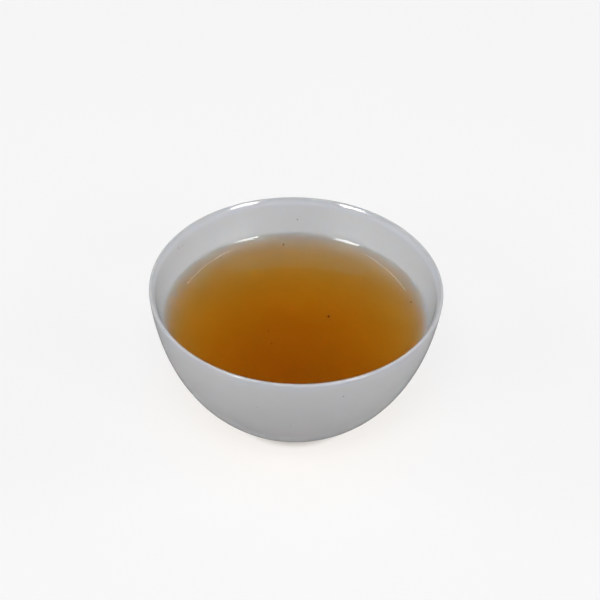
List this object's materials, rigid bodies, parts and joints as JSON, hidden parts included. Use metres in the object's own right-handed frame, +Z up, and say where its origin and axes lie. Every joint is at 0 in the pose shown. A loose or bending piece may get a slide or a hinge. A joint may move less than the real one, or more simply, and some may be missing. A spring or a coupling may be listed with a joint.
{
  "type": "cup of brewed tea",
  "caption": "Small round handleless white porcelain tasting cup on a low foot ring, filled with clear amber brewed tea, for tasting or serving a hot drink.",
  "frame": {"origin": "centre of the foot ring's standing face, on the surface that the cup stands on", "axes": "+Z up along the cup's axis of turning; the cup is the same all round, so X and Y are free, and the picture looks along +Y"},
  "size_m": [0.07, 0.07, 0.038],
  "materials": {
    "porcelain": "thin white porcelain with a clear glossy glaze, a few dark iron specks, unglazed where it stands",
    "brewed_tea": "clear amber liquid with a still, mirror-smooth surface"
  },
  "bodies": {
    "root": {"cup": "porcelain", "tea": "brewed_tea"}
  },
  "joints": []
}
